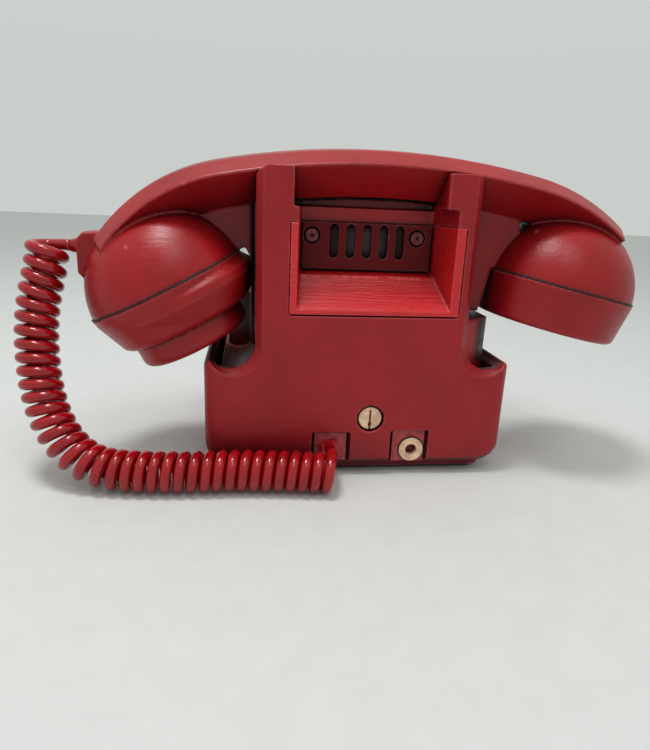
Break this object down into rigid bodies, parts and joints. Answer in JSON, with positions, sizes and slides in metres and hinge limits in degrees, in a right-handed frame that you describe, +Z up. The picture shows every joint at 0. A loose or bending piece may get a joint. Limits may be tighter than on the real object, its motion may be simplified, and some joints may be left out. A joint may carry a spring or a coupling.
{
  "type": "cradle telephone",
  "caption": "Compact cradle telephone with a lift-off handset on a curly cord, a rotary dial in front, and a carrying recess, lock and sockets in its back.",
  "frame": {"origin": "middle of the case's footprint, on the surface it stands on", "axes": "+Z up, +X along the handset towards its mouthpiece end, the dial faces -Y and the carrying recess faces +Y"},
  "size_m": [0.2348, 0.1238, 0.1208],
  "materials": {
    "body_red": "satin brush-painted deep red",
    "plinth_red": "satin red",
    "handset_red": "satin brush-painted deep red",
    "cord_red": "glossy red",
    "pad": "matt",
    "brass": "dull",
    "steel": "plain",
    "chrome": "polished",
    "dial_black": "gloss black",
    "dial_white": "enamel",
    "dial_cap_red": "satin",
    "ivory": "gloss",
    "contacts": "bright",
    "coil_black": "matt",
    "can": "plain"
  },
  "bodies": {
    "base": {"body_shell": "body_red", "carry_recess": "body_red", "vent_plate": "body_red", "vent_screws": "body_red", "base_plate": "plinth_red", "base_pad": "pad", "base_screws": "steel", "lock_barrel": "steel", "cord_socket_plate": "body_red", "line_socket_plate": "body_red", "cord_grommet": "cord_red", "line_jack": "brass", "jack_contacts": "contacts", "dial_case": "dial_black", "number_plate": "dial_white", "dial_spring": "steel", "pulse_contacts": "contacts", "finger_stop": "chrome", "hook_pin": "steel", "hook_bracket": "steel", "switch_springs": "contacts", "ringer_frame": "steel", "bell_cores": "steel", "bell_coils": "coil_black", "gong_left": "brass", "gong_right": "brass", "gong_screws": "steel", "clapper_pin": "steel", "induction_coil": "coil_black", "capacitor": "can", "terminal_block": "coil_black", "terminal_screws": "steel", "cord_coil": "cord_red", "cord_tail_handset": "cord_red", "cord_tail_base": "cord_red"},
    "handset": {"handset_shell": "handset_red", "receiver_cap": "handset_red", "transmitter_cap": "handset_red", "mouthpiece": "handset_red", "receiver_capsule": "can", "transmitter_capsule": "can", "cord_sleeve": "cord_red"},
    "dial": {"finger_wheel": "chrome", "dial_cap": "dial_cap_red", "dial_shaft": "steel", "main_gear": "brass"},
    "governor": {"governor": "brass"},
    "plungers": {"hook_plungers": "ivory"},
    "hook_lever": {"hook_lever": "steel"},
    "clapper": {"clapper": "steel"},
    "lock": {"lock_plug": "brass"}
  },
  "joints": [
    {"name": "handset_lift", "type": "slide", "parent": "base", "child": "handset", "axis": [0, 0, 1], "range_m": [0, 0.09]},
    {"name": "plunger_travel", "type": "slide", "parent": "base", "child": "plungers", "axis": [0, 0, 1], "range_m": [0, 0.0036]},
    {"name": "hook_lever_turn", "type": "hinge", "parent": "base", "child": "hook_lever", "pos_m": [0, 0.018, 0.0765], "axis": [1, 0, 0], "range_deg": [0, 14.8]},
    {"name": "dial_turn", "type": "hinge", "parent": "base", "child": "dial", "pos_m": [0, -0.02003, 0.056], "axis": [0, 0.809, -0.5878], "range_deg": [0, 336], "stiffness_Nm_per_rad": 0.01},
    {"name": "governor_spin", "type": "hinge", "parent": "base", "child": "governor", "pos_m": [0.0128, -0.02756, 0.04564], "axis": [0, 0.809, -0.5878], "range_deg": [-1690, 10]},
    {"name": "clapper_swing", "type": "hinge", "parent": "base", "child": "clapper", "pos_m": [0, 0.0235, 0.018], "axis": [0, 0, 1], "range_deg": [-5, 5], "stiffness_Nm_per_rad": 0.002},
    {"name": "case_lock_turn", "type": "hinge", "parent": "base", "child": "lock", "pos_m": [-0.0043, 0.045, 0.0234], "axis": [0, 1, 0], "range_deg": [0, 90]}
  ],
  "couplings": [
    {"joint": "plunger_travel", "follows": "handset_lift", "ratio": 0.038889},
    {"joint": "hook_lever_turn", "follows": "handset_lift", "rad_per_m": 2.8313},
    {"joint": "governor_spin", "follows": "dial_turn", "ratio": -5}
  ]
}
